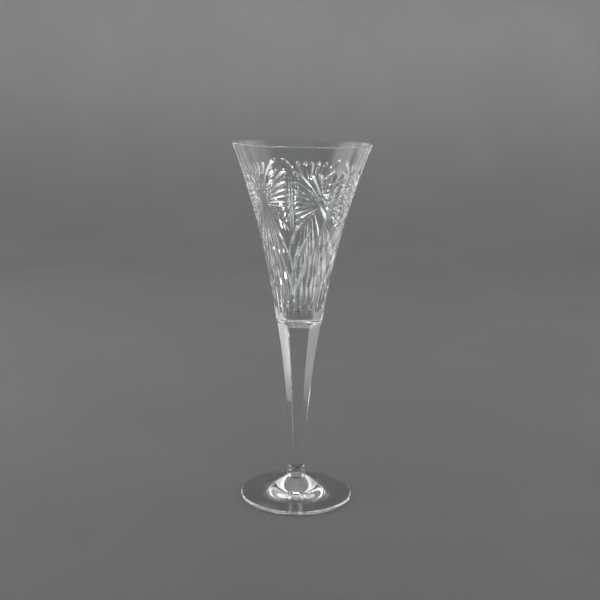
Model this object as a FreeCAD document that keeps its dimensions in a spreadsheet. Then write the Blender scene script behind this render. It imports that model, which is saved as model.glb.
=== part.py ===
"""A stemmed drinking glass with a trumpet bowl: four pieces of crystal, fused one on another."""
import FreeCAD, Part
import math
import os

import Sketcher

# Driving dimensions: millimetres, and degrees where the note says so. The sheet holds all of them.
DIMENSIONS = [
    ("overall_height", 235.0, "table to the top of the rim"),
    ("rim_radius", 44.4, "outside of the rim"),
    ("rim_thickness", 1.4, "glass at the rim, which is fully rounded"),
    ("bowl_flare", 498.0, "radius of the bowl's outer side, seen from the side"),
    ("cavity_flare", 430.0, "radius of the bowl's inner side, seen from the side"),
    ("cavity_round", 12.4, "radius of the rounded floor inside the bowl"),
    ("floor_thickness", 3.2, "glass under the middle of the cavity"),
    ("bowl_joint_height", 122.5, "where the bowl is fused to the stem"),
    ("bowl_joint_radius", 15.3, "the fused face between bowl and stem"),
    ("stem_flare", 720.0, "radius of the stem blank's side, seen from the side"),
    ("collar_joint_height", 18.6, "where the stem is fused to the collar"),
    ("collar_joint_radius", 5.1, "the fused face between stem and collar"),
    ("flat_count", 6.0, "flats cut round the stem"),
    ("flat_low_height", 20.6, "where the flats reach their full depth, at the foot end"),
    ("flat_low_radius", 4.3, "stem axis to the middle of a flat, there"),
    ("flat_high_height", 117.0, "where the flats start to run out, under the bowl"),
    ("flat_high_radius", 12.0, "stem axis to the middle of a flat, there"),
    ("flat_hollow", 820.0, "radius of a flat along its length"),
    ("low_run_out", 1.5, "radius of the curve that ends a flat at the foot end"),
    ("high_run_out", 5.5, "radius of the curve that ends a flat under the bowl"),
    ("cutter_low_height", 19.2, "underside of the cutter that makes a flat"),
    ("cutter_high_height", 121.4, "top of that cutter"),
    ("cutter_reach", 23.0, "stem axis to the far side of that cutter, clear of the blank"),
    ("stem_turn", -2.5, "degrees: the middle of the front flat, from square to the front"),
    ("foot_joint_height", 13.0, "where the collar is fused to the foot"),
    ("foot_joint_radius", 6.1, "the fused face between collar and foot"),
    ("collar_round", 10.5, "radius of the collar's bulging side"),
    ("foot_radius", 37.3, "outside of the foot"),
    ("foot_edge_thickness", 2.5, "the foot's rounded edge"),
    ("dome_slope", 34.0, "degrees: the side of the dome on top of the foot"),
    ("dome_blend", 30.0, "radius that joins the dome to the disc"),
    ("disc_slope", 5.0, "degrees: the fall of the disc towards its edge"),
    ("ring_inner_radius", 34.0, "inside of the ring that touches the table"),
    ("hollow_depth", 2.0, "height of the hollow underneath, at the middle"),
]
SHEET_NAME = "dims"
START, END, CENTRE = 1, 2, 3  # Sketcher's names for the points of an edge
ORIGIN, ROOT_POINT = -1, 1
HORIZONTAL_AXIS, VERTICAL_AXIS = -1, -2


def make_sheet(document):
    """Write each driving dimension into its own row, with an alias that expressions can use."""
    sheet = document.addObject("Spreadsheet::Sheet", SHEET_NAME)
    for row, (alias, value, note) in enumerate(DIMENSIONS, start=1):
        sheet.set(f"A{row}", alias)
        sheet.set(f"B{row}", str(value))
        sheet.set(f"C{row}", note)
        sheet.setAlias(f"B{row}", alias)
    document.recompute()
    return sheet


def origin_feature(body, role):
    """The body's own origin plane or axis with this role."""
    return next(feature for feature in body.Origin.OriginFeatures if feature.Role == role)


def new_body(document, name):
    body = document.addObject("PartDesign::Body", name)
    body.Label = name
    return body


def new_sketch(body, name, plane_role):
    sketch = body.newObject("Sketcher::SketchObject", name)
    sketch.AttachmentSupport = [(origin_feature(body, plane_role), "")]
    sketch.MapMode = "FlatFace"
    return sketch


class Outline:
    """A closed outline in a sketch: edges in order, each given by its points near their final place."""

    def __init__(self, sketch):
        self.sketch = sketch
        self.ends = {}

    def line(self, start, end):
        edge = self.sketch.addGeometry(Part.LineSegment(FreeCAD.Vector(*start), FreeCAD.Vector(*end)))
        self.ends[edge] = (START, END)
        return edge

    def arc(self, start, middle, end):
        """An arc through three points. Sketcher stores every arc anticlockwise, so ends may swap."""
        points = [FreeCAD.Vector(*point) for point in (start, middle, end)]
        edge = self.sketch.addGeometry(Part.Arc(*points))
        turn = (points[1] - points[0]).cross(points[2] - points[0]).z
        self.ends[edge] = (START, END) if turn > 0 else (END, START)
        return edge

    def join(self, edge, following, smooth=False):
        kind = "Tangent" if smooth else "Coincident"
        last = self.ends[edge][1]
        first = self.ends[following][0]
        self.sketch.addConstraint(Sketcher.Constraint(kind, edge, last, following, first))

    def rule(self, kind, *where):
        self.sketch.addConstraint(Sketcher.Constraint(kind, *where))

    def size(self, name, expression, kind, *where):
        """Add a dimension and tie it to the sheet."""
        value = float(self.sketch.evalExpression(expression))
        if kind == "Angle":
            value = math.radians(value)
        index = self.sketch.addConstraint(Sketcher.Constraint(kind, *where, value))
        self.sketch.renameConstraint(index, name)
        unit = " * 1 deg" if kind == "Angle" else ""
        self.sketch.setExpression(f"Constraints.{name}", expression + unit)

    def radius_at(self, name, expression, edge, end):
        """The distance of an edge's end or centre from the vertical axis."""
        point = end if end == CENTRE else self.ends[edge][end]
        self.size(name, expression, "DistanceX", ORIGIN, ROOT_POINT, edge, point)

    def height_at(self, name, expression, edge, end):
        """The height of an edge's end or centre above the table."""
        point = end if end == CENTRE else self.ends[edge][end]
        self.size(name, expression, "DistanceY", ORIGIN, ROOT_POINT, edge, point)


def revolve(body, sketch):
    """Turn an outline through a full circle about the vertical axis of its sketch."""
    feature = body.newObject("PartDesign::Revolution", sketch.Name + "_turned")
    feature.Profile = sketch
    feature.ReferenceAxis = (sketch, ["V_Axis"])
    feature.Angle = 360.0
    sketch.Document.recompute()
    return feature


def make_bowl(document, size):
    """The trumpet bowl: curved walls that thin towards a rounded rim, and a rounded floor inside."""
    body = new_body(document, "bowl")
    outline = Outline(new_sketch(body, "bowl_section", "XZ_Plane"))
    rim_round = size("rim_thickness") / 2
    joint = (size("bowl_joint_radius"), size("bowl_joint_height"))
    rim_centre = (size("rim_radius") - rim_round, size("overall_height") - rim_round)
    floor = (0, size("bowl_joint_height") + size("floor_thickness"))
    cavity_side = (size("cavity_round"), floor[1] + size("cavity_round"))
    halfway = (joint[1] + rim_centre[1]) / 2
    outer_halfway = ((joint[0] + rim_centre[0]) / 2 - size("rim_thickness") * 2, halfway)

    base = outline.line((0, joint[1]), joint)
    outer = outline.arc(joint, outer_halfway, (rim_centre[0] + rim_round, rim_centre[1]))
    rim = outline.arc(
        (rim_centre[0] + rim_round, rim_centre[1]),
        (rim_centre[0], size("overall_height")),
        (rim_centre[0] - rim_round, rim_centre[1]),
    )
    inner = outline.arc(
        (rim_centre[0] - rim_round, rim_centre[1]),
        (outer_halfway[0] - size("rim_thickness") * 2, halfway),
        cavity_side,
    )
    bottom = outline.arc(
        cavity_side,
        (cavity_side[0] * math.sin(math.pi / 4), cavity_side[1] - cavity_side[0] * math.sin(math.pi / 4)),
        floor,
    )
    axis = outline.line(floor, (0, joint[1]))

    outline.rule("Horizontal", base)
    outline.rule("PointOnObject", base, START, VERTICAL_AXIS)
    outline.radius_at("joint_radius", "dims.bowl_joint_radius", base, 1)
    outline.height_at("joint_height", "dims.bowl_joint_height", base, 1)
    outline.join(base, outer)
    outline.join(outer, rim, smooth=True)
    outline.join(rim, inner, smooth=True)
    outline.join(inner, bottom, smooth=True)
    outline.join(bottom, axis)
    outline.join(axis, base)
    outline.rule("Vertical", axis)
    outline.rule("PointOnObject", bottom, CENTRE, VERTICAL_AXIS)
    outline.size("outer_flare", "dims.bowl_flare", "Radius", outer)
    outline.size("inner_flare", "dims.cavity_flare", "Radius", inner)
    outline.size("rim_round", "dims.rim_thickness / 2", "Radius", rim)
    outline.radius_at("rim_centre", "dims.rim_radius - dims.rim_thickness / 2", rim, CENTRE)
    outline.height_at("rim_height", "dims.overall_height - dims.rim_thickness / 2", rim, CENTRE)
    outline.size("cavity_round", "dims.cavity_round", "Radius", bottom)
    outline.height_at("floor_height", "dims.bowl_joint_height + dims.floor_thickness", bottom, 1)
    revolve(body, outline.sketch)
    return body


def add_spindle_outline(outline, low, high, bulge):
    """A turned piece: flat round faces at two heights, joined by one curved side."""
    base = outline.line((0, low[1]), low)
    side = outline.arc(low, ((low[0] + high[0]) / 2 + bulge, (low[1] + high[1]) / 2), high)
    top = outline.line(high, (0, high[1]))
    axis = outline.line((0, high[1]), (0, low[1]))
    outline.rule("Horizontal", base)
    outline.rule("Horizontal", top)
    outline.rule("Vertical", axis)
    outline.rule("PointOnObject", base, START, VERTICAL_AXIS)
    outline.join(base, side)
    outline.join(side, top)
    outline.join(top, axis)
    outline.join(axis, base)
    return base, side, top


def run_out_end(flat_end, height, radius):
    """Near where a run-out ends: an arc that leaves the end of a flat and curves away from the axis."""
    rise = height - flat_end[1]
    return flat_end[0] + radius - math.sqrt(radius**2 - rise**2), height


def run_out_middle(outer_end, flat_end):
    """A point near a run-out, halfway along it and a little nearer the axis than the straight line."""
    return (outer_end[0] + 2 * flat_end[0]) / 3, (outer_end[1] + flat_end[1]) / 2


def make_stem(document, size):
    """The solid stem: a blank that widens upwards, with flats that run out under the bowl."""
    body = new_body(document, "stem")
    low = (size("collar_joint_radius"), size("collar_joint_height"))
    high = (size("bowl_joint_radius"), size("bowl_joint_height"))
    inward = -size("collar_joint_radius") / 2

    blank = Outline(new_sketch(body, "stem_section", "YZ_Plane"))
    base, side, top = add_spindle_outline(blank, low, high, inward)
    blank.radius_at("low_radius", "dims.collar_joint_radius", base, 1)
    blank.height_at("low_height", "dims.collar_joint_height", base, 1)
    blank.radius_at("high_radius", "dims.bowl_joint_radius", top, 0)
    blank.height_at("high_height", "dims.bowl_joint_height", top, 0)
    blank.size("flare", "dims.stem_flare", "Radius", side)
    revolve(body, blank.sketch)

    reach = size("cutter_reach")
    flat_low = (size("flat_low_radius"), size("flat_low_height"))
    flat_high = (size("flat_high_radius"), size("flat_high_height"))
    flat_middle = ((flat_low[0] + flat_high[0]) / 2 + inward, (flat_low[1] + flat_high[1]) / 2)
    low_end = run_out_end(flat_low, size("cutter_low_height"), size("low_run_out"))
    high_end = run_out_end(flat_high, size("cutter_high_height"), size("high_run_out"))
    cut = Outline(new_sketch(body, "flat_section", "YZ_Plane"))
    low_run_out = cut.arc(low_end, run_out_middle(low_end, flat_low), flat_low)
    flat = cut.arc(flat_low, flat_middle, flat_high)
    high_run_out = cut.arc(flat_high, run_out_middle(high_end, flat_high), high_end)
    ceiling = cut.line(high_end, (reach, high_end[1]))
    outside = cut.line((reach, high_end[1]), (reach, low_end[1]))
    bottom = cut.line((reach, low_end[1]), low_end)
    cut.join(low_run_out, flat, smooth=True)
    cut.join(flat, high_run_out, smooth=True)
    cut.join(high_run_out, ceiling)
    cut.join(ceiling, outside)
    cut.join(outside, bottom)
    cut.join(bottom, low_run_out)
    cut.rule("Horizontal", ceiling)
    cut.rule("Vertical", outside)
    cut.rule("Horizontal", bottom)
    cut.radius_at("low_radius", "dims.flat_low_radius", flat, 0)
    cut.height_at("low_height", "dims.flat_low_height", flat, 0)
    cut.radius_at("high_radius", "dims.flat_high_radius", flat, 1)
    cut.height_at("high_height", "dims.flat_high_height", flat, 1)
    cut.size("hollow", "dims.flat_hollow", "Radius", flat)
    cut.size("low_round", "dims.low_run_out", "Radius", low_run_out)
    cut.size("high_round", "dims.high_run_out", "Radius", high_run_out)
    cut.height_at("low_end", "dims.cutter_low_height", bottom, 1)
    cut.height_at("high_end", "dims.cutter_high_height", ceiling, 0)
    cut.radius_at("reach", "dims.cutter_reach", ceiling, 1)

    pocket = body.newObject("PartDesign::Pocket", "front_flat")
    pocket.Profile = cut.sketch
    pocket.Type = "Length"
    pocket.Midplane = True
    pocket.setExpression("Length", "2 * dims.cutter_reach")
    document.recompute()
    pattern = body.newObject("PartDesign::PolarPattern", "flats")
    pattern.Originals = [pocket]
    pattern.Axis = (origin_feature(body, "Z_Axis"), [""])
    pattern.Angle = 360.0
    pattern.setExpression("Occurrences", "dims.flat_count")
    body.Tip = pattern
    body.setExpression("Placement.Rotation.Angle", "dims.stem_turn * 1 deg")
    return body


def make_collar(document, size):
    """The collar: a small bulging knop between stem and foot."""
    body = new_body(document, "collar")
    low = (size("foot_joint_radius"), size("foot_joint_height"))
    high = (size("collar_joint_radius"), size("collar_joint_height"))
    outline = Outline(new_sketch(body, "collar_section", "XZ_Plane"))
    base, side, top = add_spindle_outline(outline, low, high, size("foot_joint_radius") / 6)
    outline.radius_at("low_radius", "dims.foot_joint_radius", base, 1)
    outline.height_at("low_height", "dims.foot_joint_height", base, 1)
    outline.radius_at("high_radius", "dims.collar_joint_radius", top, 0)
    outline.height_at("high_height", "dims.collar_joint_height", top, 0)
    outline.size("bulge", "dims.collar_round", "Radius", side)
    revolve(body, outline.sketch)
    return body


def make_foot(document, size):
    """The foot: a dome that falls into a thin disc, hollowed underneath so that it stands on a ring."""
    body = new_body(document, "foot")
    outline = Outline(new_sketch(body, "foot_section", "XZ_Plane"))
    edge_round = size("foot_edge_thickness") / 2
    joint = (size("foot_joint_radius"), size("foot_joint_height"))
    edge_centre = (size("foot_radius") - edge_round, edge_round)
    disc_slope = math.radians(size("disc_slope"))
    dome_slope = math.radians(size("dome_slope"))
    disc_height_at_joint = size("foot_edge_thickness") + (edge_centre[0] - joint[0]) * math.tan(disc_slope)
    run = (joint[1] - disc_height_at_joint) / (math.tan(dome_slope) - math.tan(disc_slope))
    corner = (joint[0] + run, joint[1] - run * math.tan(dome_slope))
    half_turn = (dome_slope - disc_slope) / 2
    reach = size("dome_blend") * math.tan(half_turn)
    rise = size("dome_blend") * (1 / math.cos(half_turn) - 1)
    middle_slope = (dome_slope + disc_slope) / 2
    dome_end = (corner[0] - reach * math.cos(dome_slope), corner[1] + reach * math.sin(dome_slope))
    disc_start = (corner[0] + reach * math.cos(disc_slope), corner[1] - reach * math.sin(disc_slope))
    blend_middle = (corner[0] + rise * math.sin(middle_slope), corner[1] + rise * math.cos(middle_slope))

    axis = outline.line((0, size("hollow_depth")), (0, joint[1]))
    top = outline.line((0, joint[1]), joint)
    dome = outline.line(joint, dome_end)
    blend = outline.arc(dome_end, blend_middle, disc_start)
    disc = outline.line(disc_start, (edge_centre[0], size("foot_edge_thickness")))
    edge = outline.arc(
        (edge_centre[0], size("foot_edge_thickness")), (size("foot_radius"), edge_round), (edge_centre[0], 0)
    )
    ring = outline.line((edge_centre[0], 0), (size("ring_inner_radius"), 0))
    hollow = outline.arc(
        (size("ring_inner_radius"), 0),
        (size("ring_inner_radius") / 2, size("hollow_depth") * 3 / 4),
        (0, size("hollow_depth")),
    )

    outline.rule("Vertical", axis)
    outline.rule("PointOnObject", axis, START, VERTICAL_AXIS)
    outline.rule("Horizontal", top)
    outline.rule("Horizontal", ring)
    outline.rule("PointOnObject", ring, END, HORIZONTAL_AXIS)
    outline.join(axis, top)
    outline.join(top, dome)
    outline.join(dome, blend, smooth=True)
    outline.join(blend, disc, smooth=True)
    outline.join(disc, edge, smooth=True)
    outline.join(edge, ring, smooth=True)
    outline.join(ring, hollow)
    outline.join(hollow, axis)
    outline.rule("PointOnObject", hollow, CENTRE, VERTICAL_AXIS)
    outline.height_at("joint_height", "dims.foot_joint_height", axis, 1)
    outline.height_at("hollow_depth", "dims.hollow_depth", axis, 0)
    outline.radius_at("joint_radius", "dims.foot_joint_radius", top, 1)
    outline.size("dome_slope", "-dims.dome_slope", "Angle", dome)
    outline.size("dome_blend", "dims.dome_blend", "Radius", blend)
    outline.size("disc_slope", "-dims.disc_slope", "Angle", disc)
    outline.size("edge_round", "dims.foot_edge_thickness / 2", "Radius", edge)
    outline.radius_at("edge_centre", "dims.foot_radius - dims.foot_edge_thickness / 2", edge, CENTRE)
    outline.radius_at("ring_inside", "dims.ring_inner_radius", ring, 1)
    revolve(body, outline.sketch)
    return body


def check(document, bodies, size):
    """Stop if any feature failed, any outline is loose, or any piece isn't one sound solid."""
    for item in document.Objects:
        if "Invalid" in item.State or "Error" in item.State:
            raise RuntimeError(f"{item.Name} did not recompute: {item.State}")
        if item.TypeId == "Sketcher::SketchObject" and item.solve() != 0:
            raise RuntimeError(f"{item.Name} has no solution")
    for body in bodies:
        if body.Shape.isNull() or not body.Shape.isValid() or len(body.Shape.Solids) != 1:
            raise RuntimeError(f"{body.Label} is not one valid solid")
    blank = document.getObject("stem_section_turned").Shape
    if document.getObject("stem").Shape.Volume > 0.95 * blank.Volume:
        raise RuntimeError("the flats took nothing off the stem")
    foot = document.getObject("foot").Shape
    disc = math.pi * size("foot_radius") ** 2 * size("foot_edge_thickness")
    if not disc < foot.Volume < 2 * disc:
        raise RuntimeError("the foot's outline has folded over")


def main():
    document = FreeCAD.newDocument("flute")
    sheet = make_sheet(document)

    def size(alias):
        return float(sheet.get(alias))

    bodies = [make(document, size) for make in (make_bowl, make_stem, make_collar, make_foot)]
    document.recompute()
    check(document, bodies, size)
    os.makedirs("parts", exist_ok=True)
    for body in bodies:
        body.Shape.exportStep(f"parts/{body.Label}.step")
        print(body.Label, round(body.Shape.Volume), "mm3", body.Shape.BoundBox)


main()
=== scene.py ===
"""A cut-crystal champagne flute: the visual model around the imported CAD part, and the studio for it."""
import math

import bmesh
import bpy
import numpy as np
from mathutils import Matrix, Vector


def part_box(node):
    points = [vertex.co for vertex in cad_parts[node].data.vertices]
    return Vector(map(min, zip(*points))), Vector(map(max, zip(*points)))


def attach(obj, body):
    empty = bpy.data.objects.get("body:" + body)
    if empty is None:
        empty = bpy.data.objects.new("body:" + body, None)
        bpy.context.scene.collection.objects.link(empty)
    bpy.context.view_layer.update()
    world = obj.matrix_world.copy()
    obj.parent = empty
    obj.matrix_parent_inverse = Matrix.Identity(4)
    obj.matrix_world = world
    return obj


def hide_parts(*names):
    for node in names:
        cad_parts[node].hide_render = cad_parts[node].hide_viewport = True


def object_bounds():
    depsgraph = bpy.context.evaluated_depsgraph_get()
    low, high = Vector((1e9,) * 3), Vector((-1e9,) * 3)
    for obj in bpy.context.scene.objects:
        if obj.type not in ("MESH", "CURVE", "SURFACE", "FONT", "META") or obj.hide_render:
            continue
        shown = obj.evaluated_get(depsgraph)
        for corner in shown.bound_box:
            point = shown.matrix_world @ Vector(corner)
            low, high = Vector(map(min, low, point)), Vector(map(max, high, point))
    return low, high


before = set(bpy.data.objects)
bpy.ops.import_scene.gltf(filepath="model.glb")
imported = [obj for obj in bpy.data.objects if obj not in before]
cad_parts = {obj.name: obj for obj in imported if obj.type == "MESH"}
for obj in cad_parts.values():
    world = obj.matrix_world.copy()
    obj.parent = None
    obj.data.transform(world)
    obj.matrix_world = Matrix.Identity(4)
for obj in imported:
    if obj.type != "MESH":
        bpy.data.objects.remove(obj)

MM = 0.001
cad_low, cad_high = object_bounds()

# Places that come from the CAD nodes, in metres.
bowl_low, bowl_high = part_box("bowl")
RIM_HEIGHT = bowl_high.z
RIM_RADIUS = min(bowl_high.x, bowl_high.y, -bowl_low.x, -bowl_low.y)
BOWL_JOINT = bowl_low.z
COLLAR_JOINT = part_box("stem")[0].z
FOOT_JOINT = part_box("collar")[0].z
FOOT_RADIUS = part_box("foot")[1].x

# The section's own sizes, the same ones that the CAD sheet holds.
RIM_THICKNESS = 1.4 * MM
BOWL_FLARE = 498.0 * MM
CAVITY_FLARE = 430.0 * MM
CAVITY_ROUND = 12.4 * MM
FLOOR_THICKNESS = 3.2 * MM
BOWL_JOINT_RADIUS = 15.3 * MM
STEM_FLARE = 720.0 * MM
COLLAR_JOINT_RADIUS = 5.1 * MM
FLAT_COUNT = 6
FLAT_LOW = (4.3 * MM, 20.6 * MM)
FLAT_HIGH = (12.0 * MM, 117.0 * MM)
FLAT_HOLLOW = 820.0 * MM
LOW_RUN_OUT = 1.5 * MM
HIGH_RUN_OUT = 5.5 * MM
STEM_TURN = math.radians(-2.5)
FOOT_JOINT_RADIUS = 6.1 * MM
COLLAR_ROUND = 10.5 * MM
EDGE_ROUND = 1.25 * MM
DOME_SLOPE = math.radians(34.0)
DOME_BLEND = 30.0 * MM
DISC_SLOPE = math.radians(5.0)
RING_INNER_RADIUS = 34.0 * MM
HOLLOW_DEPTH = 2.0 * MM

TURN_STEPS = 240  # columns of faces round a turned piece
ON_AXIS = 1e-7  # a point nearer the axis than this, in metres, is on it
SURFACE, CUT, JOINT = 0, 1, 2  # material slots of each piece


# Plane geometry for the outlines: points are (radius, height).

def circle_meeting(first, first_reach, second, second_reach, outward):
    """The point at these distances from two others: the one further out, or the one further in."""
    first, second = np.array(first, float), np.array(second, float)
    gap = second - first
    span = np.hypot(*gap)
    along = (span**2 + first_reach**2 - second_reach**2) / (2 * span)
    across = math.sqrt(first_reach**2 - along**2)
    middle = first + gap / span * along
    side = np.array([gap[1], -gap[0]]) / span * across
    return max(middle + side, middle - side, key=lambda p: p[0] if outward else -p[0])


def arc_points(centre, start, end, count):
    """Evenly spaced points on the shorter arc from start to end, both included."""
    centre, start, end = (np.array(p, float) for p in (centre, start, end))
    reach = np.hypot(*(start - centre))
    first = math.atan2(start[1] - centre[1], start[0] - centre[0])
    last = math.atan2(end[1] - centre[1], end[0] - centre[0])
    sweep = (last - first + math.pi) % (2 * math.pi) - math.pi
    turns = first + sweep * np.linspace(0, 1, count)
    return centre + reach * np.stack([np.cos(turns), np.sin(turns)], 1)


def line_points(start, end, count):
    """Evenly spaced points on a straight line, both ends included."""
    return np.array(start, float) + np.linspace(0, 1, count)[:, None] * (
        np.array(end, float) - np.array(start, float)
    )


def point_towards(centre, target, reach):
    """The point at this distance from centre, on the way to target."""
    centre, target = np.array(centre, float), np.array(target, float)
    gap = target - centre
    return centre + gap / np.hypot(*gap) * reach


# Turned meshes: an outline swept round the axis, with one point where it meets the axis.

def mesh_piece(name, points, faces, slots, materials):
    """A mesh object from numpy points, with a material slot number for each face."""
    mesh = bpy.data.meshes.new(name)
    mesh.from_pydata([tuple(p) for p in points], [], faces)
    mesh.polygons.foreach_set("material_index", np.array(slots, np.int32))
    mesh.polygons.foreach_set("use_smooth", np.ones(len(mesh.polygons), bool))
    for material in materials:
        mesh.materials.append(material)
    mesh.update()
    piece = bpy.data.objects.new(name, mesh)
    bpy.context.scene.collection.objects.link(piece)
    return piece


def turned(name, sections, materials, steps=TURN_STEPS):
    """Turn a closed outline, from the axis round to the axis. sections: (points, material slot)."""
    outline = [tuple(sections[0][0][0])]
    row_slots = []
    for points, slot in sections:
        for point in points[1:]:
            outline.append(tuple(point))
            row_slots.append(slot)
    vertices, faces, slots, rows = [], [], [], []
    for radius, height in outline:
        if radius < ON_AXIS:
            rows.append([len(vertices)])
            vertices.append((0.0, 0.0, height))
            continue
        rows.append(list(range(len(vertices), len(vertices) + steps)))
        for step in range(steps):
            turn = 2 * math.pi * step / steps
            vertices.append((radius * math.cos(turn), radius * math.sin(turn), height))
    for row, (low, high) in enumerate(zip(rows, rows[1:])):
        for step in range(steps):
            after = (step + 1) % steps
            if len(low) == 1 and len(high) == 1:
                break
            if len(low) == 1:
                face = (low[0], high[after], high[step])
            elif len(high) == 1:
                face = (low[step], low[after], high[0])
            else:
                face = (low[step], low[after], high[after], high[step])
            faces.append(face)
            slots.append(row_slots[row])
    return mesh_piece(name, vertices, faces, slots, materials)


# The bowl: a turned blank with the decoration cut out of it by V-edged wheels.

RIM_CENTRE = (RIM_RADIUS - RIM_THICKNESS / 2, RIM_HEIGHT - RIM_THICKNESS / 2)
JOINT_CORNER = (BOWL_JOINT_RADIUS, BOWL_JOINT)
FLOOR = (0.0, BOWL_JOINT + FLOOR_THICKNESS)
CAVITY_CENTRE = (0.0, FLOOR[1] + CAVITY_ROUND)
OUTER_CENTRE = circle_meeting(JOINT_CORNER, BOWL_FLARE, RIM_CENTRE, BOWL_FLARE + RIM_THICKNESS / 2, True)
INNER_CENTRE = circle_meeting(
    RIM_CENTRE, CAVITY_FLARE - RIM_THICKNESS / 2, CAVITY_CENTRE, CAVITY_FLARE + CAVITY_ROUND, True
)


def bowl_sections():
    """The bowl's closed outline, from the middle of its fused face up the outside and down the inside."""
    outer_end = point_towards(RIM_CENTRE, OUTER_CENTRE, RIM_THICKNESS / 2)
    inner_start = point_towards(INNER_CENTRE, RIM_CENTRE, CAVITY_FLARE)
    inner_end = point_towards(CAVITY_CENTRE, INNER_CENTRE, CAVITY_ROUND)
    rim_top = (RIM_CENTRE[0], RIM_HEIGHT)
    return [
        (line_points((0.0, BOWL_JOINT), JOINT_CORNER, 2), JOINT),
        (arc_points(OUTER_CENTRE, JOINT_CORNER, outer_end, 48), SURFACE),
        (arc_points(RIM_CENTRE, outer_end, rim_top, 8), SURFACE),
        (arc_points(RIM_CENTRE, rim_top, inner_start, 8), SURFACE),
        (arc_points(INNER_CENTRE, inner_start, inner_end, 48), SURFACE),
        (arc_points(CAVITY_CENTRE, inner_end, FLOOR, 20), SURFACE),
    ]


def on_bowl(angle, height):
    """The point on the bowl's outside at this angle (degrees to the right of front), and its normal."""
    drop = height - OUTER_CENTRE[1]
    radius = OUTER_CENTRE[0] - np.sqrt(BOWL_FLARE**2 - drop**2)
    lean = np.stack([OUTER_CENTRE[0] - radius, -drop], -1) / BOWL_FLARE
    turn = np.radians(angle)
    way = np.stack([np.sin(turn), -np.cos(turn)], -1)
    point = np.concatenate([way * radius[..., None], height[..., None]], -1)
    normal = np.concatenate([way * lean[..., :1], lean[..., 1:]], -1)
    return point, normal


MOTIF_COUNT = 5
MOTIF_TURN = 25.0  # degrees to the right of front
HALF_MOTIF = 180.0 / MOTIF_COUNT
WHEEL_LIFT = 0.5 * MM  # how far each cut's solid stands off the bowl
STATIONS = 15  # sections along each cut's solid
CREASE = math.radians(25.0)  # sides of a cut that meet at less than this are shaded as one

# The sunburst in each motif. Angles are in degrees from the motif's middle, sizes in mm.
SUN_HEIGHT = 199.5
SUN_HALF_SPAN = 18.5
SIDE_RAYS = 9
SIDE_ROOT, SIDE_END = 4.5, 33.0
TOP_SLOPE, SLOPE_STEP = 48.0, 11.4
ROOT_SPREAD = 1.5  # how much further out a steep ray starts, in degrees a radian
ROOT_REACH = 4.0
LOW_TUCK = 2.5  # how much sooner a falling ray ends
SIDE_BOW = 1.6
SIDE_WIDTH, STEEP_WIDENING = 1.65, 0.4
UPRIGHT_SLOPES = (60.0, 75.0)
UPRIGHT_ROOT = 5.0
UPRIGHT_RISE = 19.0
UPRIGHT_WIDTH = 1.6

# The V angles of the wheels, in degrees, and the leaves round the bottom of the bowl.
WIDE_WHEEL, MIDDLE_WHEEL, FINE_WHEEL = 96, 94, 90
LEAF_FOOT = 124.5
LEAF_WIDTH = 1.35


def leaf_depth(along):
    """A straight dip of the wheel: deepest halfway, running out to a point at both ends."""
    return 1 - (2 * along - 1) ** 2


def tear_depth(along, peak=0.82):
    """A cut drawn deeper as it goes, which then ends round."""
    rise = np.clip(along / peak, 0, 1)
    fall = np.clip((along - peak) / (1 - peak), 0, 1)
    return np.where(along < peak, rise, np.sqrt(1 - fall**2))


def wheel_solid(start, end, bow, half_width, v_angle, depth_shape, turn, mirror):
    """One cut's solid, as points and faces. start and end are (degrees from the motif's middle, height
    in mm); bow lifts the middle of the path, in mm."""
    spacing = (1 - np.cos(np.pi * np.linspace(0, 1, STATIONS))) / 2
    angles = start[0] + (end[0] - start[0]) * spacing
    heights = start[1] + (end[1] - start[1]) * spacing + bow * 4 * spacing * (1 - spacing)
    points, normals = on_bowl(turn + mirror * angles, heights * MM)
    tangents = np.gradient(points, axis=0)
    tangents /= np.linalg.norm(tangents, axis=1)[:, None]
    across = np.cross(normals, tangents)
    spread = math.tan(math.radians(v_angle / 2))
    depths = depth_shape(spacing) * half_width * MM / spread
    depths[[0, -1]] = -WHEEL_LIFT / 10
    keel = points - normals * depths[:, None]
    reach = across * ((depths + WHEEL_LIFT) * spread)[:, None]
    top = points + normals * WHEEL_LIFT
    vertices = np.stack([keel, top + reach, top - reach], 1).reshape(-1, 3)
    faces = [(0, 2, 1), tuple(3 * (STATIONS - 1) + corner for corner in (0, 1, 2))]
    for station in range(STATIONS - 1):
        near, far = 3 * station, 3 * station + 3
        for one, other in ((0, 1), (1, 2), (2, 0)):
            faces.append((near + one, near + other, far + other, far + one))
    return vertices, faces


def sunburst_cuts():
    """The rays of half a sunburst: side ones that end beside the next motif, and then upright ones
    that end at one level."""
    degrees_per_mm = (SIDE_END - SIDE_ROOT) / SUN_HALF_SPAN
    cuts = []
    for ray in range(SIDE_RAYS):
        slope = math.radians(TOP_SLOPE - SLOPE_STEP * ray)
        rise = SUN_HALF_SPAN * math.tan(slope)
        root = (SIDE_ROOT + abs(slope) * ROOT_SPREAD, SUN_HEIGHT + ROOT_REACH * math.sin(slope))
        end = (SIDE_END - LOW_TUCK * max(0.0, -math.sin(slope)), SUN_HEIGHT + rise)
        bow = SIDE_BOW * max(0.0, math.sin(slope))
        width = SIDE_WIDTH + STEEP_WIDENING * abs(math.sin(slope))
        cuts.append((root, end, bow, width, WIDE_WHEEL, tear_depth))
    for degrees in UPRIGHT_SLOPES:
        slope = math.radians(degrees)
        root_angle = UPRIGHT_ROOT * math.cos(slope) * degrees_per_mm
        end_angle = UPRIGHT_RISE / math.tan(slope) * degrees_per_mm
        root = (root_angle, SUN_HEIGHT + UPRIGHT_ROOT * math.sin(slope))
        end = (end_angle, SUN_HEIGHT + UPRIGHT_RISE)
        cuts.append((root, end, 0.0, UPRIGHT_WIDTH, WIDE_WHEEL, tear_depth))
    return cuts


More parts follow.
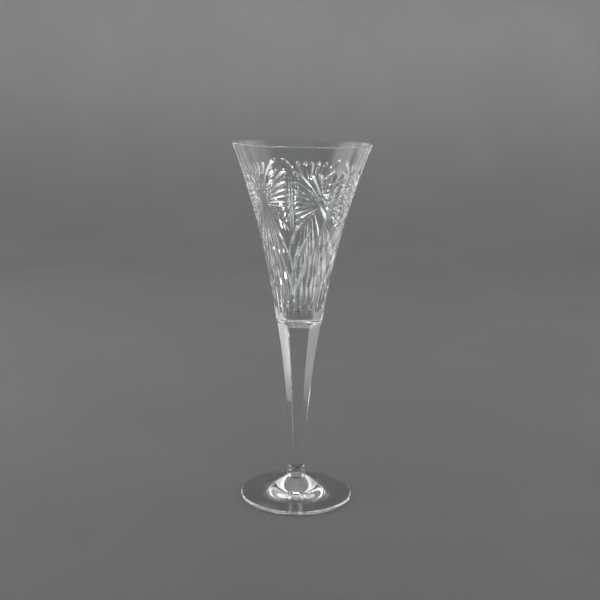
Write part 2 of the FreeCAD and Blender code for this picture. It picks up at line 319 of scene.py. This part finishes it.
def motif_cuts():
    """All cuts of one motif: (start, end, bow, half width, V angle, depth shape, mirrored or not)."""
    sun_foot, sun_top = SUN_HEIGHT + UPRIGHT_ROOT, SUN_HEIGHT + UPRIGHT_RISE
    paired = sunburst_cuts()
    paired += [
        ((34.6, 218.0), (34.6, 182.0), 0.0, 0.6, FINE_WHEEL, leaf_depth),  # the line beside the next motif
        ((7.0, 188.0), (28.0, 166.0), 0.0, 1.5, WIDE_WHEEL, tear_depth),
        ((5.0, 184.5), (21.0, 150.5), 0.0, 1.5, WIDE_WHEEL, tear_depth),
        ((3.0, 181.0), (10.5, 146.0), 0.0, 1.4, WIDE_WHEEL, tear_depth),
        ((9.0, 176.0), (35.0, 139.0), 0.0, 1.15, MIDDLE_WHEEL, tear_depth),
        ((26.5, 173.0), (35.4, 157.0), 0.0, 0.7, FINE_WHEEL, leaf_depth),
        ((7.0, LEAF_FOOT), (7.0, 146.0), 0.0, LEAF_WIDTH, WIDE_WHEEL, leaf_depth),
        ((21.5, LEAF_FOOT), (21.5, 151.0), 0.0, LEAF_WIDTH, WIDE_WHEEL, leaf_depth),
    ]
    single = [
        ((0.0, sun_foot), (0.0, sun_top), 0.0, UPRIGHT_WIDTH, WIDE_WHEEL, tear_depth),
        ((0.0, 189.0), (0.0, 152.0), 0.0, 1.5, WIDE_WHEEL, tear_depth),
        ((HALF_MOTIF, LEAF_FOOT), (HALF_MOTIF, 148.0), 0.0, LEAF_WIDTH, WIDE_WHEEL, leaf_depth),
    ]
    return [cut + ((1, -1),) for cut in paired] + [cut + ((1,),) for cut in single]


def drop_slivers(mesh):
    """Delete the loose slivers of glass that are left where cuts cross, and keep the largest shell."""
    glass = bmesh.new()
    glass.from_mesh(mesh)
    left = set(glass.faces)
    shells = []
    while left:
        shell = [left.pop()]
        for face in shell:
            for edge in face.edges:
                for neighbour in edge.link_faces:
                    if neighbour in left:
                        left.remove(neighbour)
                        shell.append(neighbour)
        shells.append(shell)
    shells.sort(key=len)
    for sliver in shells[:-1]:
        bmesh.ops.delete(glass, geom=sliver, context="FACES")
    glass.to_mesh(mesh)
    glass.free()


def carve(piece, materials):
    """Cut the whole decoration: each kind of cut is one solid, repeated round the bowl."""
    wheels = []
    for number, (start, end, bow, width, v_angle, shape, mirrors) in enumerate(motif_cuts()):
        points, faces = [], []
        for motif in range(MOTIF_COUNT):
            for mirror in mirrors:
                turn = MOTIF_TURN + 2 * HALF_MOTIF * motif
                more, more_faces = wheel_solid(start, end, bow, width, v_angle, shape, turn, mirror)
                faces += [tuple(corner + len(points) for corner in face) for face in more_faces]
                points += list(more)
        wheel = mesh_piece(f"wheel_{number}", points, faces, [CUT] * len(faces), materials)
        modifier = piece.modifiers.new(wheel.name, "BOOLEAN")
        modifier.operation = "DIFFERENCE"
        modifier.solver = "MANIFOLD"
        modifier.object = wheel
        wheels.append(wheel)
    settled = piece.evaluated_get(bpy.context.evaluated_depsgraph_get())
    carved = bpy.data.meshes.new_from_object(settled)
    drop_slivers(carved)
    piece.modifiers.clear()
    piece.data = carved
    for wheel in wheels:
        bpy.data.meshes.remove(wheel.data)


def unit(vectors):
    """The same vectors, each one unit long."""
    return vectors / np.linalg.norm(vectors, axis=-1, keepdims=True)


def bowl_normals(points):
    """The true normals of the uncut bowl at points on it: from whichever arc of the section is nearest."""
    radius = np.hypot(points[:, 0], points[:, 1])
    flat = np.stack([radius, points[:, 2]], 1)
    arcs = [
        (OUTER_CENTRE, BOWL_FLARE, -1),
        (RIM_CENTRE, RIM_THICKNESS / 2, 1),
        (INNER_CENTRE, CAVITY_FLARE, 1),
        (CAVITY_CENTRE, CAVITY_ROUND, -1),
    ]
    off = np.stack([abs(np.linalg.norm(flat - centre, axis=1) - reach) for centre, reach, _ in arcs])
    found = np.stack([unit(flat - np.array(centre)) * side for centre, _, side in arcs])
    lean = found[off.argmin(0), np.arange(len(points))]
    way = points[:, :2] / np.maximum(radius, 1e-9)[:, None]
    return np.concatenate([way * lean[:, :1], lean[:, 1:]], 1)


def shade_bowl(piece):
    """Normals for every corner: the turned surface's own, flat on the joint, and smooth along each
    side of a cut but not across its edges."""
    mesh = piece.data
    faces, corners = len(mesh.polygons), len(mesh.loops)
    slots = np.empty(faces, np.int32)
    mesh.polygons.foreach_get("material_index", slots)
    normals = np.empty(faces * 3)
    mesh.polygons.foreach_get("normal", normals)
    normals = normals.reshape(-1, 3)
    areas = np.empty(faces)
    mesh.polygons.foreach_get("area", areas)
    totals = np.empty(faces, np.int32)
    mesh.polygons.foreach_get("loop_total", totals)
    corner_point = np.empty(corners, np.int32)
    mesh.loops.foreach_get("vertex_index", corner_point)
    points = np.empty(len(mesh.vertices) * 3)
    mesh.vertices.foreach_get("co", points)
    points = points.reshape(-1, 3)

    corner_face = np.repeat(np.arange(faces), totals)
    result = normals[corner_face]
    surface = slots[corner_face] == SURFACE
    result[surface] = bowl_normals(points)[corner_point[surface]]

    cut_corners = np.flatnonzero(slots[corner_face] == CUT)
    around = {}
    for corner in cut_corners:
        around.setdefault(corner_point[corner], []).append(corner_face[corner])
    least = math.cos(CREASE)
    for corner in cut_corners:
        own = normals[corner_face[corner]]
        near = np.array(around[corner_point[corner]])
        near = near[normals[near] @ own > least]
        total = (normals[near] * areas[near][:, None]).sum(0)
        result[corner] = total if total @ total > 0 else own
    mesh.normals_split_custom_set(unit(result).tolist())


def make_bowl(materials):
    """The bowl, carved and shaded."""
    bowl = turned("bowl_cut", bowl_sections(), materials)
    carve(bowl, materials)
    shade_bowl(bowl)
    return bowl


# The stem: a turned blank with flats, whose corners are softened by polishing.

FLAT_PITCH = 2 * math.pi / FLAT_COUNT
POLISH = 0.15 * MM  # how far the polishing rounds each corner
COLUMNS = 22  # from the middle of a flat to its corner
CORNER_COLUMNS = 9  # across the round stretch between two flats
CROWDING = 2.2  # how strongly the columns gather towards the corner
LOW_ROWS, FLAT_ROWS, HIGH_ROWS = 20, 70, 34
WELD_REACH = 1e-7  # points nearer than this, in metres, are merged


def side_radius(height):
    """The radius of the stem's turned blank at a height."""
    centre = circle_meeting(
        (COLLAR_JOINT_RADIUS, COLLAR_JOINT), STEM_FLARE, JOINT_CORNER, STEM_FLARE, True
    )
    return centre[0] - np.sqrt(STEM_FLARE**2 - (height - centre[1]) ** 2)


def flat_radius(height):
    """The distance from the stem's axis to the middle of a flat, at a height: a long hollow curve with
    a tight run-out at each end."""
    low, high = np.array(FLAT_LOW), np.array(FLAT_HIGH)
    centre = circle_meeting(low, FLAT_HOLLOW, high, FLAT_HOLLOW, True)
    low_centre = point_towards(low, centre, LOW_RUN_OUT)
    high_centre = point_towards(high, centre, HIGH_RUN_OUT)
    main = centre[0] - np.sqrt(FLAT_HOLLOW**2 - (height - centre[1]) ** 2)
    below = low_centre[0] - np.sqrt(np.maximum(LOW_RUN_OUT**2 - (height - low_centre[1]) ** 2, 0))
    above = high_centre[0] - np.sqrt(np.maximum(HIGH_RUN_OUT**2 - (height - high_centre[1]) ** 2, 0))
    radius = np.where(height < low[1], below, main)
    return np.where(height > high[1], above, radius)


def soft_least(first, second, reach):
    """The lesser of two radii, with the corner between them rounded over this reach."""
    near = np.clip(0.5 + (second - first) / (2 * reach), 0, 1)
    return second + (first - second) * near - reach * near * (1 - near)


def stem_radius(angle, height):
    """The stem's outline at an angle from the middle of a flat, anywhere up to the next flat's."""
    flat = flat_radius(height)
    here = flat / np.cos(angle)
    beyond = flat / np.cos(FLAT_PITCH - angle)
    return soft_least(soft_least(here, beyond, POLISH), side_radius(height), POLISH)


def stem_rows():
    """Heights of the stem's rows of points: close together where the flats run out."""
    return np.unique(np.concatenate([
        np.linspace(COLLAR_JOINT, FLAT_LOW[1], LOW_ROWS),
        np.linspace(FLAT_LOW[1], FLAT_HIGH[1], FLAT_ROWS),
        np.linspace(FLAT_HIGH[1], BOWL_JOINT, HIGH_ROWS),
    ]))


def stem_angles(height):
    """Angles from the middle of one flat to the middle of the next, crowded towards the corner."""
    ratio = np.clip(flat_radius(height) / side_radius(height), math.cos(FLAT_PITCH / 2), 1)
    corner = math.acos(ratio)
    crowd = 1 - (1 - np.linspace(0, 1, COLUMNS)) ** CROWDING
    first = corner * crowd
    across = np.linspace(corner, FLAT_PITCH - corner, CORNER_COLUMNS)[1:-1]
    return np.concatenate([first, across, FLAT_PITCH - first[::-1]])[:-1]


def make_stem(materials):
    """The stem, from its fused face with the collar up to its fused face with the bowl."""
    heights = stem_rows()
    vertices, faces, slots = [(0.0, 0.0, heights[0])], [], []
    for height in heights:
        angles = stem_angles(height)
        radii = stem_radius(angles, height)
        for flat in range(FLAT_COUNT):
            turns = angles + FLAT_PITCH * flat + STEM_TURN - math.pi / 2
            ring = np.stack([radii * np.cos(turns), radii * np.sin(turns), np.full(len(turns), height)], 1)
            vertices += [tuple(point) for point in ring]
    columns = (len(vertices) - 1) // len(heights)
    vertices.append((0.0, 0.0, heights[-1]))
    for column in range(columns):
        after = (column + 1) % columns
        faces.append((0, 1 + after, 1 + column))
        slots.append(JOINT)
        for row in range(len(heights) - 1):
            low, high = 1 + row * columns, 1 + (row + 1) * columns
            faces.append((low + column, low + after, high + after, high + column))
            slots.append(SURFACE)
        top = 1 + (len(heights) - 1) * columns
        faces.append((top + column, top + after, len(vertices) - 1))
        slots.append(JOINT)
    stem = mesh_piece("stem_flats", vertices, faces, slots, materials)
    weld(stem)
    return stem


def weld(piece):
    """Merge points that fell together, and keep the edge of each fused face sharp."""
    tidy = bmesh.new()
    tidy.from_mesh(piece.data)
    bmesh.ops.remove_doubles(tidy, verts=tidy.verts, dist=WELD_REACH)
    bmesh.ops.dissolve_degenerate(tidy, edges=tidy.edges, dist=WELD_REACH)
    for edge in tidy.edges:
        edge.smooth = len({face.material_index for face in edge.link_faces}) == 1
    tidy.to_mesh(piece.data)
    tidy.free()


# The collar and the foot: plain turned pieces.

def make_collar(materials):
    """The collar, a bulge from its fused face with the foot up to its fused face with the stem."""
    low, high = (FOOT_JOINT_RADIUS, FOOT_JOINT), (COLLAR_JOINT_RADIUS, COLLAR_JOINT)
    centre = circle_meeting(low, COLLAR_ROUND, high, COLLAR_ROUND, False)
    collar = turned(
        "collar_knop",
        [
            (line_points((0.0, FOOT_JOINT), low, 2), JOINT),
            (arc_points(centre, low, high, 28), SURFACE),
            (line_points(high, (0.0, COLLAR_JOINT), 2), JOINT),
        ],
        materials,
    )
    weld(collar)
    return collar


def foot_sections():
    """The foot's closed outline, from the middle of the hollow underneath up to its fused face."""
    edge_centre = np.array((FOOT_RADIUS - EDGE_ROUND, EDGE_ROUND))
    disc_up = np.array((math.sin(DISC_SLOPE), math.cos(DISC_SLOPE)))
    dome_up = np.array((math.sin(DOME_SLOPE), math.cos(DOME_SLOPE)))
    joint = np.array((FOOT_JOINT_RADIUS, FOOT_JOINT))
    disc_end = edge_centre + disc_up * EDGE_ROUND
    # The blend's centre is one blend radius above the dome's line and above the disc's line.
    reaches = np.array((joint @ dome_up, disc_end @ disc_up)) + DOME_BLEND
    blend_centre = np.linalg.solve(np.array((dome_up, disc_up)), reaches)
    hollow_radius = (RING_INNER_RADIUS**2 + HOLLOW_DEPTH**2) / (2 * HOLLOW_DEPTH)
    hollow_centre = (0.0, HOLLOW_DEPTH - hollow_radius)
    ring_inside, ring_outside = (RING_INNER_RADIUS, 0.0), (edge_centre[0], 0.0)
    edge_side = (FOOT_RADIUS, EDGE_ROUND)
    dome_end = blend_centre - dome_up * DOME_BLEND
    disc_start = blend_centre - disc_up * DOME_BLEND
    return [
        (arc_points(hollow_centre, (0.0, HOLLOW_DEPTH), ring_inside, 40), SURFACE),
        (line_points(ring_inside, ring_outside, 4), SURFACE),
        (arc_points(edge_centre, ring_outside, edge_side, 12), SURFACE),
        (arc_points(edge_centre, edge_side, disc_end, 12), SURFACE),
        (line_points(disc_end, disc_start, 12), SURFACE),
        (arc_points(blend_centre, disc_start, dome_end, 24), SURFACE),
        (line_points(dome_end, joint, 16), SURFACE),
        (line_points(joint, (0.0, FOOT_JOINT), 2), JOINT),
    ]


def make_foot(materials):
    """The foot, a dome blended into a disc, and hollow underneath."""
    foot = turned("foot_disc", foot_sections(), materials)
    weld(foot)
    return foot


# Materials, all procedural. The crystal's have waviness from the fire and the marks of polishing.

CRYSTAL_COLOUR = (0.985, 0.992, 0.994, 1.0)
CRYSTAL_INDEX = 1.545
TOOTH_DEPTH = 0.08 * MM
TOOTH_STRENGTH = 0.5

def node_material(name):
    """An empty node material, with its nodes and links."""
    material = bpy.data.materials.new(name)
    material.use_nodes = True
    material.node_tree.nodes.clear()
    return material, material.node_tree.nodes, material.node_tree.links


def texture_place(nodes, links, stretch=(1.0, 1.0, 1.0)):
    """Object coordinates, in metres, stretched along any axis."""
    place = nodes.new("ShaderNodeTexCoord")
    mapping = nodes.new("ShaderNodeMapping")
    mapping.inputs["Scale"].default_value = stretch
    links.new(place.outputs["Object"], mapping.inputs["Vector"])
    return mapping.outputs["Vector"]


def noise(nodes, links, vector, scale, detail=2.0):
    """A noise texture's value. Scale is in features a metre."""
    texture = nodes.new("ShaderNodeTexNoise")
    texture.inputs["Scale"].default_value = scale
    texture.inputs["Detail"].default_value = detail
    links.new(vector, texture.inputs["Vector"])
    return texture.outputs["Fac"]


def ranged(nodes, links, value, low, high):
    """Map a noise value from its usual 0.3 to 0.7 onto a range."""
    node = nodes.new("ShaderNodeMapRange")
    node.inputs["From Min"].default_value = 0.3
    node.inputs["From Max"].default_value = 0.7
    node.inputs["To Min"].default_value = low
    node.inputs["To Max"].default_value = high
    links.new(value, node.inputs["Value"])
    return node.outputs["Result"]


def crystal(name, roughest, wave_depth, wave_scale, mark_depth, mark_scale, stretch):
    """Colourless lead crystal. Waves are broad and shallow, and polishing marks are fine."""
    material, nodes, links = node_material(name)
    shader = nodes.new("ShaderNodeBsdfPrincipled")
    shader.inputs["Base Color"].default_value = CRYSTAL_COLOUR
    shader.inputs["Transmission Weight"].default_value = 1.0
    shader.inputs["IOR"].default_value = CRYSTAL_INDEX
    place = texture_place(nodes, links, stretch)
    smear = ranged(nodes, links, noise(nodes, links, place, mark_scale / 6, 3.0), 0.0, roughest)
    links.new(smear, shader.inputs["Roughness"])
    waves = nodes.new("ShaderNodeBump")
    waves.inputs["Distance"].default_value = wave_depth
    links.new(noise(nodes, links, place, wave_scale, 1.0), waves.inputs["Height"])
    marks = nodes.new("ShaderNodeBump")
    marks.inputs["Distance"].default_value = mark_depth
    links.new(noise(nodes, links, place, mark_scale, 2.0), marks.inputs["Height"])
    links.new(waves.outputs["Normal"], marks.inputs["Normal"])
    links.new(marks.outputs["Normal"], shader.inputs["Normal"])
    output = nodes.new("ShaderNodeOutputMaterial")
    links.new(shader.outputs["BSDF"], output.inputs["Surface"])
    return material


def fused_joint():
    """The inside of one piece of glass where two gathers were fused: there is no surface to see."""
    material, nodes, links = node_material("fused_joint")
    shader = nodes.new("ShaderNodeBsdfTransparent")
    output = nodes.new("ShaderNodeOutputMaterial")
    links.new(shader.outputs["BSDF"], output.inputs["Surface"])
    return material


def paper(name, floor_shade, wall_shade_with_painted_light):
    """Matt studio paper with painted light: its wall is painted lighter than its floor, standing in for
    brighter light on the wall. Nearly even otherwise, with a faint mottle and tooth.
    """
    material, nodes, links = node_material(name)
    shader = nodes.new("ShaderNodeBsdfPrincipled")
    shader.inputs["Roughness"].default_value = 0.9
    shader.inputs["Specular IOR Level"].default_value = 0.0
    place = texture_place(nodes, links)
    apart = nodes.new("ShaderNodeSeparateXYZ")
    links.new(place, apart.inputs["Vector"])
    # Painted light: the shade climbs from the floor's to the lighter wall's, in place of more light
    # falling on the wall.
    painted_wall_light_ramp = nodes.new("ShaderNodeMapRange")
    painted_wall_light_ramp.interpolation_type = "SMOOTHSTEP"
    painted_wall_light_ramp.inputs["From Max"].default_value = STUDIO_COVE
    painted_wall_light_ramp.inputs["To Min"].default_value = floor_shade
    painted_wall_light_ramp.inputs["To Max"].default_value = wall_shade_with_painted_light
    links.new(apart.outputs["Z"], painted_wall_light_ramp.inputs["Value"])
    mottle = ranged(nodes, links, noise(nodes, links, place, 9.0, 4.0), 0.97, 1.03)
    tone = nodes.new("ShaderNodeMath")
    tone.operation = "MULTIPLY"
    links.new(painted_wall_light_ramp.outputs["Result"], tone.inputs[0])
    links.new(mottle, tone.inputs[1])
    links.new(tone.outputs["Value"], shader.inputs["Base Color"])
    tooth = nodes.new("ShaderNodeBump")
    tooth.inputs["Distance"].default_value = TOOTH_DEPTH
    tooth.inputs["Strength"].default_value = TOOTH_STRENGTH
    links.new(noise(nodes, links, place, 900.0, 2.0), tooth.inputs["Height"])
    links.new(tooth.outputs["Normal"], shader.inputs["Normal"])
    output = nodes.new("ShaderNodeOutputMaterial")
    links.new(shader.outputs["BSDF"], output.inputs["Surface"])
    return material


# The studio: a round table that sweeps up into a wall all the way round, soft boxes and a camera.

STUDIO_FLOOR = 0.95  # radius of the level part
STUDIO_COVE = 0.45  # radius of the curve up into the wall
STUDIO_HEIGHT = 2.4
STUDIO_STEPS = 96
FLOOR_GAP = 0.02 * MM  # keeps the floor clear of the ring that the foot stands on
AIR_COLOUR = (0.9, 0.95, 1.0, 1.0)
AIR_STRENGTH = 0.15
CAMERA_PLACE = (0.0003, -0.6334, 0.2685)
CAMERA_PITCH = math.radians(12.0)
CAMERA_LEAN = math.radians(1.048)
CAMERA_LENS, CAMERA_SENSOR = 59.7, 36.0  # in millimetres


def make_studio():
    """The floor, its cove and the wall, as one turned surface around the glass."""
    cove_centre = (STUDIO_FLOOR, STUDIO_COVE)
    wall_foot = (STUDIO_FLOOR + STUDIO_COVE, STUDIO_COVE)
    floor_end = (STUDIO_FLOOR, 0.0)
    studio = turned(
        "studio",
        [
            (line_points((0.0, 0.0), floor_end, 12), SURFACE),
            (arc_points(cove_centre, floor_end, wall_foot, 20), SURFACE),
            (line_points(wall_foot, (wall_foot[0], STUDIO_HEIGHT), 6), SURFACE),
        ],
        # The wall's lighter shade is painted light, standing in for brighter light on the wall.
        [paper("studio_paper", floor_shade=0.42, wall_shade_with_painted_light=0.78)],
        steps=STUDIO_STEPS,
    )
    studio.data.flip_normals()
    studio.location.z = cad_low.z - FLOOR_GAP


def soft_edges(light):
    """Let a light fade towards its edges, as the cloth of a soft box does."""
    light.use_nodes = True
    nodes, links = light.node_tree.nodes, light.node_tree.links
    across = nodes.new("ShaderNodeNewGeometry")
    apart = nodes.new("ShaderNodeSeparateXYZ")
    links.new(across.outputs["Parametric"], apart.inputs["Vector"])
    both = nodes.new("ShaderNodeMath")
    both.operation = "MULTIPLY"
    for number, axis in enumerate("XY"):
        far = nodes.new("ShaderNodeMath")
        far.operation = "SUBTRACT"
        far.inputs[0].default_value = 1.0
        links.new(apart.outputs[axis], far.inputs[1])
        arch = nodes.new("ShaderNodeMath")
        arch.operation = "MULTIPLY"
        links.new(apart.outputs[axis], arch.inputs[0])
        links.new(far.outputs["Value"], arch.inputs[1])
        fade = nodes.new("ShaderNodeMapRange")
        fade.interpolation_type = "SMOOTHSTEP"
        fade.inputs["From Max"].default_value = 0.2
        links.new(arch.outputs["Value"], fade.inputs["Value"])
        links.new(fade.outputs["Result"], both.inputs[number])
    links.new(both.outputs["Value"], nodes["Emission"].inputs["Strength"])


def soft_box(name, azimuth, elevation, distance, width, height, power, aim=(0.0, 0.0, 0.12)):
    """A rectangular light that faces its aim. Azimuth is in degrees to the right of front, distance,
    width and height are in metres, and power is in watts."""
    turn, lift = math.radians(azimuth), math.radians(elevation)
    way = Vector((math.sin(turn) * math.cos(lift), -math.cos(turn) * math.cos(lift), math.sin(lift)))
    light = bpy.data.lights.new(name, "AREA")
    light.shape = "RECTANGLE"
    light.size, light.size_y = width, height
    light.energy = power
    soft_edges(light)
    box = bpy.data.objects.new(name, light)
    bpy.context.scene.collection.objects.link(box)
    box.location = Vector(aim) + way * distance
    box.rotation_mode = "QUATERNION"
    box.rotation_quaternion = way.to_track_quat("Z", "Y")
    box.visible_camera = False
    return box


def make_lights():
    """Two large keys and a wash for the wall, and cards that only show in the glass."""
    soft_box("key_right", 96, 20, 1.0, 1.1, 0.9, 2.6)
    soft_box("key_left", -94, 20, 1.0, 1.1, 0.9, 4.6)
    soft_box("wall_wash", 0, 60, 1.2, 1.2, 0.4, 6.5, (0.0, 1.4, 0.7))
    cards = [
        soft_box("lamp_right", 62, 66, 1.1, 0.2, 0.2, 2.0),
        soft_box("lamp_left", -60, 66, 1.1, 0.2, 0.2, 1.8),
        soft_box("rear_right", 131, 0, 0.33, 0.3, 0.56, 0.26, (0.0, 0.0, 0.24)),
        soft_box("rear_left", -131, 0, 0.33, 0.3, 0.56, 0.11, (0.0, 0.0, 0.24)),
        soft_box("strip_left", -153, 0, 0.5, 0.1, 0.24, 0.05, (0.0, 0.0, 0.21)),
        soft_box("strip_right", 153, 0, 0.5, 0.1, 0.24, 0.07, (0.0, 0.0, 0.21)),
        soft_box("edge_card", -119, 0, 0.2, 0.06, 0.05, 0.05, (0.0, 0.0, 0.026)),
        soft_box("top_card", -152, 27, 0.4, 0.3, 0.24, 0.28, (0.0, 0.0, 0.2)),
    ]
    for card in cards:
        card.visible_diffuse = False
    world = bpy.data.worlds.new("studio_air")
    world.use_nodes = True
    world.node_tree.nodes["Background"].inputs["Color"].default_value = AIR_COLOUR
    world.node_tree.nodes["Background"].inputs["Strength"].default_value = AIR_STRENGTH
    bpy.context.scene.world = world


def make_camera():
    """The camera stands a little right of the glass's axis, looks down a little and leans a degree."""
    forward = Vector((0.0, math.cos(CAMERA_PITCH), -math.sin(CAMERA_PITCH)))
    side = Vector((1.0, 0.0, 0.0))
    up = side.cross(forward)
    leaning_side = side * math.cos(CAMERA_LEAN) + up * math.sin(CAMERA_LEAN)
    leaning_up = up * math.cos(CAMERA_LEAN) - side * math.sin(CAMERA_LEAN)
    lens = bpy.data.cameras.new("camera")
    lens.lens = CAMERA_LENS
    lens.sensor_width = CAMERA_SENSOR
    camera = bpy.data.objects.new("camera", lens)
    bpy.context.scene.collection.objects.link(camera)
    turn = Matrix((leaning_side, leaning_up, -forward)).transposed().to_4x4()
    camera.matrix_world = Matrix.Translation(CAMERA_PLACE) @ turn
    bpy.context.scene.camera = camera


# Build everything, and give each piece to the frame.

polished = crystal(
    "polished_crystal",
    roughest=0.012,
    wave_depth=0.03 * MM,
    wave_scale=45.0,
    mark_depth=0.001 * MM,
    mark_scale=900.0,
    stretch=(1.0, 1.0, 0.35),
)
wheel_cut = crystal(
    "wheel_cut_crystal",
    roughest=0.02,
    wave_depth=0.01 * MM,
    wave_scale=200.0,
    mark_depth=0.002 * MM,
    mark_scale=2200.0,
    stretch=(1.0, 1.0, 1.0),
)
slots = [polished, wheel_cut, fused_joint()]
for make, node, finish in (
    (make_bowl, "bowl", "cut_crystal"),
    (make_stem, "stem", "plain_crystal"),
    (make_collar, "collar", "plain_crystal"),
    (make_foot, "foot", "plain_crystal"),
):
    piece = make(slots)
    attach(piece, "root")
    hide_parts(node)
    piece.visible_shadow = False

make_studio()
make_lights()
make_camera()

scene = bpy.context.scene
scene.view_settings.view_transform = "Standard"
# Light that is trapped in the glass bounces many times, and too few bounces leave black patches.
scene.cycles.max_bounces = 128
scene.cycles.transmission_bounces = 64
scene.cycles.glossy_bounces = 96
scene.cycles.transparent_max_bounces = 24
scene.cycles.caustics_reflective = False
scene.cycles.caustics_refractive = False
